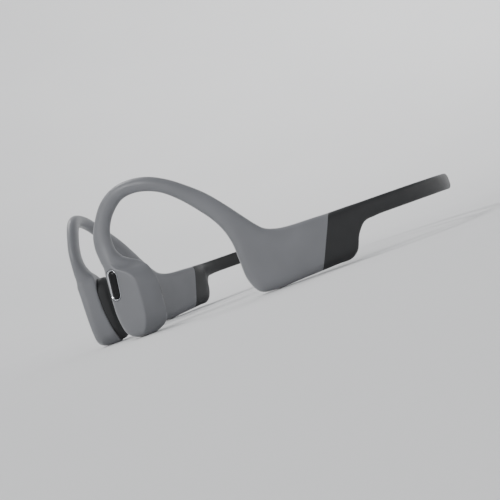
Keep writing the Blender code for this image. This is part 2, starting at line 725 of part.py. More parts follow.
def lid_block(inset, low_n, high_n):
    """A block with the lid's outline, a rectangle with round corners."""
    half_s, half_z = LID_SIZE[0] / 2 - inset, LID_SIZE[1] / 2 - inset
    outline = []
    for turn, (side_s, side_z) in enumerate(((1, 1), (-1, 1), (-1, -1), (1, -1))):
        for k in range(4):
            angle = math.pi / 2 * (turn + k / 3)
            s = side_s * (half_s - LID_CORNER) + LID_CORNER * math.cos(angle)
            z = side_z * (half_z - LID_CORNER) + LID_CORNER * math.sin(angle)
            outline.append((s, z))
    return plate_mesh(outline, low_n, high_n, arm_frame(*LID_MIDDLE))


def make_case(side):
    """The case's shell and its lid on the head's side."""
    rows = list(CASE)
    rows[0] = shifted(rows[0], SEAM)
    rows[-1] = shifted(rows[-1], -SEAM)
    shell = add_part(side + "_case_shell", loft(case_rings(rows)), "light_silicone")
    combine(shell, case_cavity(), "DIFFERENCE")
    combine(shell, lid_block(0.0, LID_OUTSIDE, LID_BACK), "DIFFERENCE")
    entry = [HOOK[-2], CASE[0], CASE[1], shifted(CASE[2], WALL)]
    combine(shell, loft([bore_ring(row) for row in entry]), "DIFFERENCE")
    if side == "right":
        for s in (VOLUME_DOWN_S, VOLUME_UP_S, CHARGE_S):
            width, length = KEY_SIZE
            slot = slot_mesh(width + SLOT_GAP, length + SLOT_GAP, -WALL - PAST, PAST, underside(s))
            combine(shell, slot, "DIFFERENCE")
        hole = disc_mesh(LIGHT_RADIUS + INSERT_GAP, -WALL - PAST, PAST, underside(LIGHT_S), sides=10)
        combine(shell, hole, "DIFFERENCE")

    lid = add_part(side + "_case_lid", loft(case_rings(rows)), "light_silicone")
    combine(lid, lid_block(SEAM, LID_OUTSIDE, LID_BACK - LID_GAP), "INTERSECT")
    combine(lid, case_cavity(), "DIFFERENCE")


def make_band_side(side):
    """The dark boot that plugs into the case and carries on as the neckband's side stretch."""
    plain = band_rows(BOOT[-1][0], HINGE_S - SEAM)[1:]
    mouth = shifted(BOOT[0], SEAM)
    plug = shifted(BOOT[0], -PLUG_LENGTH)
    outer = [rail_ring(plug, WALL + GAP), rail_ring(mouth, WALL + GAP)]
    outer += [rail_ring(row) for row in (mouth, *BOOT[1:], *plain)]
    inner = [bore_ring(row) for row in (plug, mouth, *BOOT[1:], *plain)]
    add_part(side + "_band_sleeve", bored_loft(outer, inner), "dark_silicone")
    inside = [shifted(plug, -WIRE_PROUD), *BOOT[1:], *plain]
    add_wire(side + "_band_wire", inside)
    add_leads(side + "_band_leads", inside)


# ---------------------------------------------------------------- what the cases hold
def underside(s):
    """A matrix under the case at s whose X points down, Y across the arm and Z along it."""
    return arm_frame(s, CASE_MIDDLE, 0.0) @ FACING_DOWN


def make_battery():
    cell = add_part("left_battery", box_mesh(BATTERY_SIZE, arm_frame(*BATTERY_PLACE)), "battery_foil")
    bevel_edges(cell, BATTERY_EDGE)
    board = box_mesh(BATTERY_BOARD_SIZE, arm_frame(*BATTERY_BOARD_PLACE))
    add_part("left_battery_board", board, "circuit_board")


def make_electronics():
    frame = arm_frame(*BOARD_PLACE)
    add_part("right_main_board", box_mesh(BOARD_SIZE, frame), "circuit_board")
    shield = box_mesh(SHIELD_SIZE, frame @ offset(*SHIELD_PLACE))
    shield = add_part("right_shield_can", shield, "magnet_steel")
    bevel_edges(shield, SHIELD_EDGE)


def make_keys():
    """The volume keys on the case's underside, with the two switches they press."""
    for name, s in (("volume_down", VOLUME_DOWN_S), ("volume_up", VOLUME_UP_S)):
        key = slot_mesh(*KEY_SIZE, -KEY_BACK, -KEY_FACE, underside(s))
        key = add_part(f"right_{name}_button", key, "black_plastic")
        foot = slot_mesh(*KEY_FOOT, -KEY_BACK, -KEY_BACK + KEY_FOOT_HEIGHT, underside(s))
        combine(key, foot, "UNION")
        switch = box_mesh(SWITCH_SIZE, arm_frame(s, SWITCH_N, SWITCH_Z))
        add_part(f"right_{name}_switch", switch, "black_plastic")


def make_charging():
    """The charging inlet: a base with two contacts in its face and two magnets behind it."""
    frame = underside(CHARGE_S)
    base = slot_mesh(*CHARGE_SIZE, -CHARGE_BACK, -CHARGE_FACE, frame)
    base = add_part("right_charge_base", base, "black_plastic")
    contact = (CONTACT_OFFSET, CONTACT_RADIUS, -CONTACT_BACK, -CONTACT_FACE)
    holder = (HOLDER_OFFSET, HOLDER_RADIUS, -HOLDER_BACK, -HOLDER_FACE)
    for name, material, insert in (("contact", "gold", contact), ("magnet", "magnet_steel", holder)):
        away, radius, low, high = insert
        open_end = PAST if name == "contact" else high + INSERT_GAP
        for number, side in enumerate((-1, 1), 1):
            place = frame @ offset(0, 0, side * away)
            hole = disc_mesh(radius + INSERT_GAP, -CHARGE_BACK - PAST, open_end, place, sides=10)
            combine(base, hole, "DIFFERENCE")
            pin = disc_mesh(radius, low, high, place, sides=10)
            add_part(f"right_charge_{name}_{number}", pin, material)
    guide = disc_mesh(LIGHT_RADIUS, -LIGHT_BACK, -LIGHT_FACE, underside(LIGHT_S), sides=10)
    add_part("right_light_guide", guide, "light_guide")


# ---------------------------------------------------------------- neckband
def across(rings):
    """The left arm's rings carried on over the middle to the right arm's side."""
    mirrored = [[Vector((-p.x, p.y, p.z)) for p in ring] for ring in reversed(rings[:-1])]
    return rings + mirrored


def make_neckband():
    rows = band_rows(HINGE_S + SEAM, ARM_END)
    outer, inner = across([rail_ring(row) for row in rows]), across([bore_ring(row) for row in rows])
    add_part("neckband_sleeve", bored_loft(outer, inner), "dark_silicone")
    for name, along, radius, material in (
        ("neckband_wire", WIRE_SPACING, WIRE_RADIUS, "titanium"),
        ("neckband_leads", -WIRE_SPACING, LEAD_RADIUS, "lead_jacket"),
    ):
        points = across([[point] for point in core_points(rows, along)])
        add_part(name, strand_mesh([point for (point,) in points], radius), material)


# ---------------------------------------------------------------- joints
def hinge_point():
    """The place where the arm starts to bend away from the neckband, on the band's outer face."""
    return arm_point(HINGE_S, BAND_HALF, (BAND_TOP + BAND_LOW) / 2)


def joint_points():
    """Where each moving piece's joint is, on the left side. An arm's other pieces turn with its hinge."""
    speaker = pod_point(SPEAKER_S, YOKE[-1][0], SPEAKER_Z)
    points = {name: speaker for name in ("yoke", "top_plate", "magnet")}
    points["multifunction_button"] = pod_point(BUTTON_S, BUTTON_BACK, BUTTON_Z)
    points["volume_down_button"] = arm_point(VOLUME_DOWN_S, CASE_MIDDLE, KEY_BACK)
    points["volume_up_button"] = arm_point(VOLUME_UP_S, CASE_MIDDLE, KEY_BACK)
    return points


def set_origin(part, point):
    part.data.transform(Matrix.Translation(-point))
    part.location = point


def to_right(part):
    """Mirrors a piece that was made on the left arm over to the right arm."""
    part.data.transform(Matrix.Scale(-1, 4, (1, 0, 0)))
    part.data.flip_normals()


def make_arm(side):
    others = set(PARTS.objects)
    make_pod(side)
    make_transducer(side)
    make_hook(side)
    make_case(side)
    make_band_side(side)
    if side == "left":
        make_button()
        make_battery()
    else:
        make_electronics()
        make_keys()
        make_charging()
    places = joint_points()
    for part in set(PARTS.objects) - others:
        origin = places.get(part.name.removeprefix(side + "_"), hinge_point())
        if side == "right":
            to_right(part)
            origin = Vector((-origin.x, origin.y, origin.z))
        set_origin(part, origin)


make_arm("left")
make_arm("right")
make_neckband()
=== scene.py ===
import math

import bmesh
import bpy
import numpy as np
from mathutils import Matrix, Vector
from mathutils.bvhtree import BVHTree


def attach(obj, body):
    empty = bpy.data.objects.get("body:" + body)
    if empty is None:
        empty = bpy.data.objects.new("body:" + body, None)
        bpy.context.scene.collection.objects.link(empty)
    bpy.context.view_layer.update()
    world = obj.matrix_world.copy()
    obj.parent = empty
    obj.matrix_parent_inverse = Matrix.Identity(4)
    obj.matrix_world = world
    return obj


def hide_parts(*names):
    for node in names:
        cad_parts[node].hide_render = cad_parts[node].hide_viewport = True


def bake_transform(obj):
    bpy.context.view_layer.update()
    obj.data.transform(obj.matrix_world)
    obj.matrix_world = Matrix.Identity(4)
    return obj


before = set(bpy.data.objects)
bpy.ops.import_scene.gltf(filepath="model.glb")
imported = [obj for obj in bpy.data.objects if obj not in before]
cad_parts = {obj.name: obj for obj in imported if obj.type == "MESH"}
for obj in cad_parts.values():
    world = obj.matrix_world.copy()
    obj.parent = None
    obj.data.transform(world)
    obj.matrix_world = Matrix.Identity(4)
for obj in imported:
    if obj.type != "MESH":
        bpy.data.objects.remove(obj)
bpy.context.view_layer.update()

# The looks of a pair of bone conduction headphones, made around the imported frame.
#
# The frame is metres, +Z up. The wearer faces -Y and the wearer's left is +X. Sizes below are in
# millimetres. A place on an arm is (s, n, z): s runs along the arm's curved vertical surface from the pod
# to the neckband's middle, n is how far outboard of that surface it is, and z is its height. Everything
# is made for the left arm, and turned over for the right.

MM = 0.001
WELD = 0.000001

# ---- The arm surface from above, as the part has it
ARM_START, ARM_HEADING = (13.6, -62.36), 57.0
HOOK_STRAIGHT, HOOK_RADIUS, HOOK_TURN = 12.0, 46.0, 32.0
CASE_STRAIGHT = 45.0
SIDE_RADIUS, SIDE_TURN = 42.0, 42.0
CORNER_RADIUS, CORNER_TURN = 33.0, 50.0
HINGE_S = 125.0
BEND_LENGTH = 80.0

# ---- Points round a section, and rings added between two stations
SKIN_POINTS, BAND_POINTS, COVER_POINTS = 96, 56, 96
RING_STEPS, BAND_STEPS = 5, 6
BAND_TOP, BAND_LOW, BAND_HALF, BAND_STEP = 17.0, 11.5, 1.33, 1.6

# Pod stations from the sole up: height, front, crease, rear rim, outboard, rim's n, how sharp the crease is
POD = (
    (0.0, 2.4, 4.8, 7.7, 0.4, -4.9, 0.0),
    (0.5, 1.5, 6.2, 9.0, 1.9, -5.3, 0.3),
    (1.4, 0.4, 7.3, 10.6, 2.7, -5.2, 0.8),
    (3.2, -0.9, 8.7, 12.4, 3.0, -4.9, 1.0),
    (5.6, -1.5, 9.7, 13.4, 3.1, -4.5, 1.0),
    (8.8, -1.9, 10.3, 14.0, 3.1, -4.1, 1.0),
    (12.5, -1.8, 10.7, 14.6, 3.1, -3.7, 1.0),
    (16.0, -1.5, 11.0, 14.8, 3.1, -3.6, 1.0),
    (18.7, -1.2, 10.5, 14.1, 3.1, -3.6, 1.0),
    (21.2, -1.0, 8.2, 12.9, 3.1, -3.9, 1.0),
    (22.4, -0.95, 6.2, 11.7, 3.1, -4.1, 1.0),
    (23.4, -0.95, 4.6, 10.5, 2.95, -4.2, 0.85),
    (24.4, -1.0, 3.7, 9.1, 2.85, -4.1, 0.6),
    (25.4, -1.15, 3.4, 7.6, 2.75, -3.6, 0.35),
    (26.6, -1.3, 3.2, 6.2, 2.65, -2.9, 0.15),
    (28.4, -1.5, 3.2, 5.3, 2.45, -2.25, 0.0),
)
FRONT_ROUND, CREASE_ROUND, SIDE_ROUND, RIM_ROUND = 2.85, 0.6, 14.0, 0.45
SIDE_BULGE = 0.3

# Stations of the hook, the case and the boot: top s and z, low s and z, outboard, inboard, squareness
HOOK = (
    (-1.7, 31.5, 4.9, 31.3, 2.15, -1.9, 2.2),
    (-1.08, 35.4, 5.3, 35.0, 1.85, -2.15, 2.1),
    (1.3, 40.0, 7.0, 38.4, 1.4, -2.6, 2.0),
    (5.7, 44.9, 9.9, 41.3, 1.05, -2.95, 2.0),
    (11.6, 47.6, 13.6, 43.2, 0.9, -3.1, 2.0),
    (17.6, 48.08, 17.8, 43.5, 0.9, -3.15, 2.0),
    (23.8, 47.0, 22.2, 42.7, 1.05, -3.1, 2.0),
    (29.9, 44.1, 27.1, 40.5, 1.3, -2.95, 2.0),
    (35.6, 39.9, 32.0, 36.4, 1.65, -2.9, 2.1),
    (40.6, 35.4, 36.2, 31.6, 2.0, -2.85, 2.2),
    (44.8, 30.4, 39.6, 27.0, 2.35, -2.85, 2.3),
    (48.6, 25.4, 42.0, 22.0, 2.65, -3.0, 2.5),
)
CASE = (
    (51.2, 22.0, 43.0, 17.4, 2.9, -3.3, 2.8),
    (53.6, 19.5, 43.2, 12.2, 3.1, -3.8, 3.2),
    (57.0, 18.1, 43.7, 5.6, 3.3, -4.3, 3.7),
    (60.0, 17.6, 46.0, 1.2, 3.35, -4.5, 4.1),
    (63.4, 17.4, 51.0, 0.1, 3.35, -4.6, 4.4),
    (68.0, 17.3, 58.6, 0.4, 3.35, -4.6, 4.6),
    (74.0, 17.1, 66.4, 0.7, 3.35, -4.6, 4.6),
)
BOOT = (
    CASE[-1],
    (76.0, 17.1, 72.0, 0.95, 3.25, -4.3, 4.3),
    (77.8, 17.1, 76.6, 1.15, 3.05, -3.9, 4.0),
    (79.4, 17.1, 78.8, 2.6, 2.85, -3.5, 3.7),
    (82.0, 17.05, 81.2, 7.4, 2.25, -2.6, 3.4),
    (84.6, 17.0, 84.0, 10.6, 1.85, -2.0, 3.2),
    (88.0, BAND_TOP, 88.0, 11.3, 1.55, -1.6, 3.0),
    (93.0, BAND_TOP, 93.0, BAND_LOW, BAND_HALF, -BAND_HALF, 3.0),
)
SEAM_WIDTH, SEAM_DEPTH = 0.12, 0.1

# Cover stations: height, front and rear
COVER = (
    (0.5, 2.6, 7.6),
    (1.4, 1.3, 9.0),
    (3.2, -0.2, 10.8),
    (5.6, -0.9, 11.7),
    (8.8, -1.3, 12.2),
    (12.5, -1.2, 12.5),
    (16.0, -0.9, 12.5),
    (18.7, -0.6, 11.9),
    (21.2, 0.2, 10.5),
    (23.0, 1.9, 8.2),
)
# How far the cover reaches past its lowest and highest stations, and how often its outline is smoothed
COVER_PAST_LOW, COVER_PAST_TOP = 0.1, 0.25
COVER_SMOOTHING = 10
# Inside the cover, from its inner face to its wall: how far in, and n
COVER_INSIDE = ((2.2, -7.6), (1.3, -7.4), (1.0, -6.8))
# The cover's lip in the shell: how far in, and n above the shell's rim
COVER_LIP = ((1.0, 0.5), (0.0, 0.5), (0.0, -0.1))
COVER_SIDE = ((0.0, -5.9), (0.15, -6.6), (0.55, -7.3), (1.15, -7.9), (1.9, -8.28), (2.6, -8.4))
PAD_SIZE, PAD_MIDDLE = (8.4, 15.0), (5.8, 11.9)
# The pad's side, from the cover's face to its crown: how far in, and n
PAD_SIDE = (
    (-0.3, -8.42),
    (0.0, -8.48),
    (0.08, -8.75),
    (0.35, -8.97),
    (0.9, -9.06),
    (2.0, -9.09),
    (3.6, -9.09),
)

# ---- Multifunction button
BUTTON_S, BUTTON_Z, BUTTON_TILT = 2.1, 18.4, 9.0
POCKET_SIZE, RING_SIZE = (4.6, 10.4), (4.22, 10.02)
# The ring's and the cap's sides: how far in from the ring's outline, and how far above the skin
RING_SIDE = (
    (0.0, -1.1),
    (0.0, -0.12),
    (0.05, -0.05),
    (0.12, -0.02),
    (0.2, -0.05),
    (0.55, -0.4),
    (0.58, -1.1),
)
CAP_SIDE = ((0.66, -1.1), (0.66, -0.5), (0.71, -0.38), (0.82, -0.3), (1.05, -0.24), (1.5, -0.2))
# Where the button's pocket ends and where it is open, and a place clear outside the pod, as n
POCKET_FLOOR, POCKET_OPEN, OUTSIDE = 1.3, 6.0, 12.0

# ---- Microphone port in the pod's sole
PORT_S, PORT_N, PORT_RADIUS, PORT_DEPTH = 5.3, -1.6, 0.4, 2.0

# ---- Underside of the right case
CASE_MIDDLE = -0.6
# Heights between which openings are cut from below
BELOW, SLOT_DEPTH = -2.0, 2.4
KEY_S = {"volume_down": 51.6, "volume_up": 56.3}
CHARGE_S, LIGHT_S = 62.6, 59.5
KEY_SLOT, CHARGE_SLOT, LIGHT_SLOT = (2.8, 4.4), (2.8, 4.6), (0.86, 0.87)
KEY_SIZE, INLET_SIZE, PIN_SIZE, LENS_SIZE = (2.6, 4.2), (2.6, 4.4), (0.84, 0.85), (0.7, 0.71)
PIN_SPACING = 1.24
# Each one's side, from its back to its outer face: how far in, and height
KEY_SIDE = ((0.0, 2.0), (0.0, 0.46), (0.05, 0.32), (0.16, 0.22), (0.36, 0.17), (0.7, 0.14), (1.0, 0.13))
INLET_SIDE = (
    (0.0, 2.6),
    (0.0, 0.68),
    (0.04, 0.6),
    (0.12, 0.56),
    (0.26, 0.57),
    (0.34, 0.66),
    (0.42, 0.74),
    (0.8, 0.75),
)
PIN_SIDE = ((0.0, 2.9), (0.0, 0.74), (0.03, 0.67), (0.09, 0.63), (0.2, 0.61))
LENS_SIDE = ((0.0, 2.3), (0.0, 0.6), (0.03, 0.54), (0.1, 0.51), (0.18, 0.5))


# ---------------------------------------------------------------- the arm surface
def arm_stretches():
    """(start s, end s, x, y, heading, radius) of each stretch, up to the neckband's middle."""
    s, (x, y), heading = 0.0, ARM_START, ARM_HEADING
    stretches = []
    turns = (
        (HOOK_STRAIGHT, 0.0),
        (HOOK_RADIUS, HOOK_TURN),
        (CASE_STRAIGHT, 0.0),
        (SIDE_RADIUS, SIDE_TURN),
        (CORNER_RADIUS, CORNER_TURN),
        (None, None),
    )
    for size, turn in turns:
        if size is None:
            turn = 90.0 + heading
            size = x / math.cos(math.radians(-heading))
        before, after = math.radians(heading), math.radians(heading - turn)
        length = size * math.radians(turn) if turn else size
        stretches.append((s, s + length, x, y, before, size if turn else None))
        if turn:
            x += size * (math.cos(after) - math.cos(before))
            y += size * (math.sin(before) - math.sin(after))
        else:
            x += size * math.sin(before)
            y += size * math.cos(before)
        s, heading = s + length, heading - turn
    return stretches


STRETCHES = arm_stretches()
ARM_END = STRETCHES[-1][1]


def plan(s):
    """(x, y, heading in radians) of the arm surface at s."""
    for start, end, x, y, heading, radius in STRETCHES:
        if s <= end or end == ARM_END:
            break
    along = s - start
    if radius is None:
        return x + along * math.sin(heading), y + along * math.cos(heading), heading
    now = heading - along / radius
    x += radius * (math.cos(now) - math.cos(heading))
    y += radius * (math.sin(heading) - math.sin(now))
    return x, y, now


def arm_point(s, n, z):
    x, y, heading = plan(s)
    return np.array((x + n * math.cos(heading), y - n * math.sin(heading), z)) * MM


def pod_point(s, n, z):
    """A place on the pod, whose surface is the arm's first straight stretch carried on."""
    heading = math.radians(ARM_HEADING)
    x = ARM_START[0] + s * math.sin(heading) + n * math.cos(heading)
    y = ARM_START[1] + s * math.cos(heading) - n * math.sin(heading)
    return np.array((x, y, z)) * MM


# ---------------------------------------------------------------- outlines
def unit(vector):
    return vector / np.linalg.norm(vector)


def evenly(outline, count):
    """Points spaced evenly along a closed outline, from its first point on."""
    points = np.array([*outline, outline[0]], float)
    steps = np.linalg.norm(np.diff(points, axis=0), axis=1)
    reach = np.concatenate([[0], np.cumsum(steps)])
    stops = np.linspace(0, reach[-1], count, endpoint=False)
    return np.stack([np.interp(stops, reach, column) for column in points.T], axis=1)


def signed_power(value, power):
    return math.copysign(abs(value) ** power, value)


def superellipse(squareness, samples=720):
    """(up, out) pairs round a squarish ellipse of half size 1, from its top by way of its outboard side."""
    angles = [2 * math.pi * k / samples for k in range(samples)]
    power = 2 / squareness
    return [(signed_power(math.cos(a), power), signed_power(math.sin(a), power)) for a in angles]


def filleted(corners, samples=12):
    """A closed outline through (x, y, radius) corners, each one rounded."""
    outline = []
    count = len(corners)
    for k, (x, y, radius) in enumerate(corners):
        here = np.array((x, y))
        back = unit(np.array(corners[k - 1][:2]) - here)
        ahead = unit(np.array(corners[(k + 1) % count][:2]) - here)
        half = math.acos(float(np.clip(back @ ahead, -1, 1))) / 2
        centre = here + unit(back + ahead) * radius / math.sin(half)
        start = here + back * radius / math.tan(half) - centre
        end = here + ahead * radius / math.tan(half) - centre
        for share in np.linspace(0, 1, samples):
            outline.append(tuple(centre + unit(start * (1 - share) + end * share) * radius))
    return outline


def rail_section(row, inset=0.0, count=SKIN_POINTS):
    """The places round a station of the hook, the case or the boot."""
    top_s, top_z, low_s, low_z, outboard, inboard, squareness = row
    half_s, half_z = (top_s - low_s) / 2, (top_z - low_z) / 2
    shrink = 1 - inset / math.hypot(half_s, half_z)
    mid_n, half_n = (outboard + inboard) / 2, (outboard - inboard) / 2 - inset
    outline = []
    for up, out in superellipse(squareness):
        s = (top_s + low_s) / 2 + half_s * shrink * up
        outline.append((s, mid_n + half_n * out, (top_z + low_z) / 2 + half_z * shrink * up))
    return evenly(outline, count)


def pod_section(row, count=SKIN_POINTS):
    """The places round a pod station: an oval, or a D with a flat outer face, a crease and a thin rim."""
    z, front, crease, rear, outboard, rim, sharp = row
    mid_s, mid_n = (front + rear) / 2, (outboard + rim) / 2
    half_s, half_n = (rear - front) / 2, (outboard - rim) / 2
    oval = [(mid_s - half_s * up, mid_n + half_n * out) for up, out in superellipse(2.2)]
    side = (np.array((crease, outboard)) + np.array((rear, rim))) / 2
    out = unit(np.array((outboard - rim, rear - crease)))
    side_s, side_n = side + out * SIDE_BULGE
    faced = filleted(
        (
            (front, outboard, min(FRONT_ROUND, half_n * 0.9)),
            (crease, outboard, CREASE_ROUND),
            (side_s, side_n, SIDE_ROUND),
            (rear, rim, RIM_ROUND),
            (front, rim, RIM_ROUND),
        )
    )
    faced = [(front, mid_n), *faced]
    blend = evenly(oval, count) * (1 - sharp) + evenly(faced, count) * sharp
    return np.column_stack([blend, np.full(count, z)])


def slot_outline(size, middle, tilt=0.0, count=64, inset=0.0):
    """(across, along) places round a long outline with round ends, from the middle of its far end.

    Outlines of one size and different insets have matching points.
    """
    radius, run = size[0] / 2 - inset, (size[1] - size[0]) / 2
    arc = math.pi * size[0] / 2
    quarter = round(count / 4 * arc / (arc + 2 * run))
    straight = count // 2 - 2 * quarter
    knots = np.cumsum([0, quarter, straight, 2 * quarter, straight, quarter])
    steps = np.arange(count)
    angle = np.radians(np.interp(steps, knots, (0, 90, 90, 270, 270, 360)))
    across = radius * np.sin(angle)
    along = np.interp(steps, knots, (run, run, -run, -run, run, run)) + radius * np.cos(angle)
    lean = math.radians(tilt)
    turned_across = across * math.cos(lean) + along * math.sin(lean)
    turned_along = along * math.cos(lean) - across * math.sin(lean)
    return np.column_stack([middle[0] + turned_across, middle[1] + turned_along])


# ---------------------------------------------------------------- meshes
def refined(rings, steps=RING_STEPS):
    """The rings with smooth ones added between them, along a cubic through each row of points."""
    rings = [np.array(ring) for ring in rings]
    gaps = [max(np.linalg.norm(b - a, axis=1).mean(), 1e-7) for a, b in zip(rings, rings[1:])]
    slopes = [(b - a) / gap for a, b, gap in zip(rings, rings[1:], gaps)]
    tangents = [slopes[0]]
    for k in range(1, len(rings) - 1):
        share = gaps[k] / (gaps[k - 1] + gaps[k])
        tangents.append(slopes[k - 1] * share + slopes[k] * (1 - share))
    tangents.append(slopes[-1])
    fine = []
    for k, gap in enumerate(gaps):
        for t in np.arange(steps) / steps:
            fine.append(
                rings[k] * (2 * t**3 - 3 * t**2 + 1)
                + tangents[k] * gap * (t**3 - 2 * t**2 + t)
                + rings[k + 1] * (3 * t**2 - 2 * t**3)
                + tangents[k + 1] * gap * (t**3 - t**2)
            )
    return [*fine, rings[-1]]


def ring_mesh(rings, capped=True, looped=False):
    """Quads between each ring and the next, with flat ends, or with the last ring joined to the first."""
    bm = bmesh.new()
    loops = [[bm.verts.new(point) for point in ring] for ring in rings]
    pairs = list(zip(loops, loops[1:]))
    if looped:
        pairs.append((loops[-1], loops[0]))
    for one, two in pairs:
        for k in range(len(one)):
            nxt = (k + 1) % len(one)
            bm.faces.new((one[k], one[nxt], two[nxt], two[k]))
    if capped and not looped:
        bm.faces.new(list(reversed(loops[0])))
        bm.faces.new(loops[-1])
    return finished(bm)


def finished(bm):
    bmesh.ops.recalc_face_normals(bm, faces=bm.faces)
    mesh = bpy.data.meshes.new("mesh")
    bm.to_mesh(mesh)
    bm.free()
    return mesh


def mirrored(mesh):
    """The mesh turned over to the right side."""
    mesh = mesh.copy()
    mesh.transform(Matrix.Scale(-1, 4, (1, 0, 0)))
    mesh.flip_normals()
    return mesh


def cut(mesh, cutter_mesh):
    """The mesh with another one's shape taken out of it."""
    body = bpy.data.objects.new("body", mesh)
    cutter = bpy.data.objects.new("cutter", cutter_mesh)
    for obj in (body, cutter):
        bpy.context.scene.collection.objects.link(obj)
    boolean = body.modifiers.new("cut", "BOOLEAN")
    boolean.operation = "DIFFERENCE"
    boolean.solver = "EXACT"
    boolean.object = cutter
    bpy.context.view_layer.update()
    graph = bpy.context.evaluated_depsgraph_get()
    made = bpy.data.meshes.new_from_object(body.evaluated_get(graph))
    for obj in (body, cutter):
        bpy.data.objects.remove(obj)
    return made


def add_piece(name, mesh, body, material, replaced=(), sharp=40.0):
    """A named piece of the object that rides on a body and stands for the CAD nodes it replaces."""
    mesh.name = name
    mesh.materials.clear()
    mesh.materials.append(material)
    mesh.shade_smooth()
    mesh.set_sharp_from_angle(angle=math.radians(sharp))
    piece = bpy.data.objects.new(name, mesh)
    bpy.context.scene.collection.objects.link(piece)
    if body:
        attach(piece, body)
    if replaced:
        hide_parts(*replaced)
    return piece


# ---------------------------------------------------------------- materials
def new_material(name):
    material = bpy.data.materials.new(name)
    material.use_nodes = True
    tree = material.node_tree
    return material, tree, tree.nodes["Principled BSDF"]


def add_node(tree, kind, **values):
    node = tree.nodes.new(kind)
    for name, value in values.items():
        if name in node.inputs:
            node.inputs[name].default_value = value
        else:
            setattr(node, name, value)
    return node


def noise(tree, scale, detail=3.0, roughness=0.5):
    """A noise texture in the object's own metres, scale lumps to a metre."""
    place = add_node(tree, "ShaderNodeTexCoord")
    node = add_node(tree, "ShaderNodeTexNoise", Scale=scale, Detail=detail, Roughness=roughness)
    tree.links.new(place.outputs["Object"], node.inputs["Vector"])
    return node.outputs["Fac"]


def ramp(tree, source, stops):
    """A colour ramp over a value, from (place, colour) stops."""
    node = tree.nodes.new("ShaderNodeValToRGB")
    elements = node.color_ramp.elements
    while len(elements) < len(stops):
        elements.new(0.5)
    for element, (place, colour) in zip(elements, stops):
        element.position = place
        element.color = (*colour, 1) if len(colour) == 3 else colour
    tree.links.new(source, node.inputs["Fac"])
    return node.outputs["Color"]


def spread(tree, source, low, high):
    """A value mapped from the noise's usual range to low..high."""
    node = add_node(tree, "ShaderNodeMapRange")
    node.inputs["From Min"].default_value = 0.3
    node.inputs["From Max"].default_value = 0.7
    node.inputs["To Min"].default_value = low
    node.inputs["To Max"].default_value = high
    tree.links.new(source, node.inputs["Value"])
    return node.outputs["Result"]


def mixed(tree, share, one, two):
    node = tree.nodes.new("ShaderNodeMix")
    node.data_type = "RGBA"
    tree.links.new(share, node.inputs[0])
    for socket, value in ((node.inputs[6], one), (node.inputs[7], two)):
        if isinstance(value, tuple):
            socket.default_value = (*value, 1)
        else:
            tree.links.new(value, socket)
    return node.outputs[2]


def bumped(tree, shader, layers):
    """Adds bump layers of (height, strength, distance in millimetres) to a shader."""
    normal = None
    for height, strength, distance in layers:
        node = add_node(tree, "ShaderNodeBump", Strength=strength, Distance=distance * MM)
        tree.links.new(height, node.inputs["Height"])
        if normal:
            tree.links.new(normal, node.inputs["Normal"])
        normal = node.outputs["Normal"]
    tree.links.new(normal, shader.inputs["Normal"])


def tinted(tree, source, colour, dark, light, ends=(0.3, 0.7)):
    """One colour made darker and lighter by a value, between the value's two ends."""
    deep, pale = (tuple(min(1.0, value * share) for value in colour) for share in (dark, light))
    return ramp(tree, source, ((ends[0], deep), (ends[1], pale)))


def roughened(tree, shader, source, low, high):
    tree.links.new(spread(tree, source, low, high), shader.inputs["Roughness"])


def silicone(name, colour, worn, roughness, sheen):
    """Soft-touch silicone with a fine grain, slow changes of tone and gloss, and slightly paler edges."""
    material, tree, shader = new_material(name)
    tone = tinted(tree, noise(tree, 70.0, 2.0), colour, 0.93, 1.06, (0.32, 0.68))
    pointed = add_node(tree, "ShaderNodeNewGeometry").outputs["Pointiness"]
    edges = ramp(tree, pointed, ((0.52, (0, 0, 0)), (0.72, (1, 1, 1))))
    tree.links.new(mixed(tree, edges, tone, worn), shader.inputs["Base Color"])
    roughened(tree, shader, noise(tree, 240.0, 4.0), roughness - 0.05, roughness + 0.06)
    shader.inputs["Sheen Weight"].default_value = sheen
    shader.inputs["Sheen Roughness"].default_value = 0.35
    shader.inputs["Specular IOR Level"].default_value = 0.45
    grain = noise(tree, 5200.0, 2.0, 0.6)
    bumped(tree, shader, ((grain, 0.22, 0.03), (noise(tree, 900.0, 3.0), 0.1, 0.03)))
    return material


def gloss_plastic(name, colour, roughness, level=0.5):
    """Moulded plastic with faint flow marks and fine scuffs in its gloss."""
    material, tree, shader = new_material(name)
    tree.links.new(tinted(tree, noise(tree, 160.0), colour, 0.85, 1.2), shader.inputs["Base Color"])
    roughened(tree, shader, noise(tree, 1500.0, 5.0), roughness * 0.8, roughness * 1.3)
    shader.inputs["Specular IOR Level"].default_value = level
    bumped(tree, shader, ((noise(tree, 2600.0, 3.0), 0.08, 0.01),))
    return material


def brushed_metal(name, colour, roughness, grain_scale=(400.0, 400.0, 9000.0)):
    """Metal with a drawn or brushed grain and slight tarnish."""
    material, tree, shader = new_material(name)
    place = add_node(tree, "ShaderNodeTexCoord")
    stretch = add_node(tree, "ShaderNodeMapping")
    stretch.inputs["Scale"].default_value = grain_scale
    tree.links.new(place.outputs["Object"], stretch.inputs["Vector"])
    grain = add_node(tree, "ShaderNodeTexNoise", Scale=1.0, Detail=3.0)
    tree.links.new(stretch.outputs["Vector"], grain.inputs["Vector"])
    tree.links.new(tinted(tree, noise(tree, 300.0), colour, 0.86, 1.05), shader.inputs["Base Color"])
    roughened(tree, shader, grain.outputs["Fac"], roughness * 0.75, roughness * 1.3)
    shader.inputs["Metallic"].default_value = 1.0
    bumped(tree, shader, ((grain.outputs["Fac"], 0.12, 0.01),))
    return material


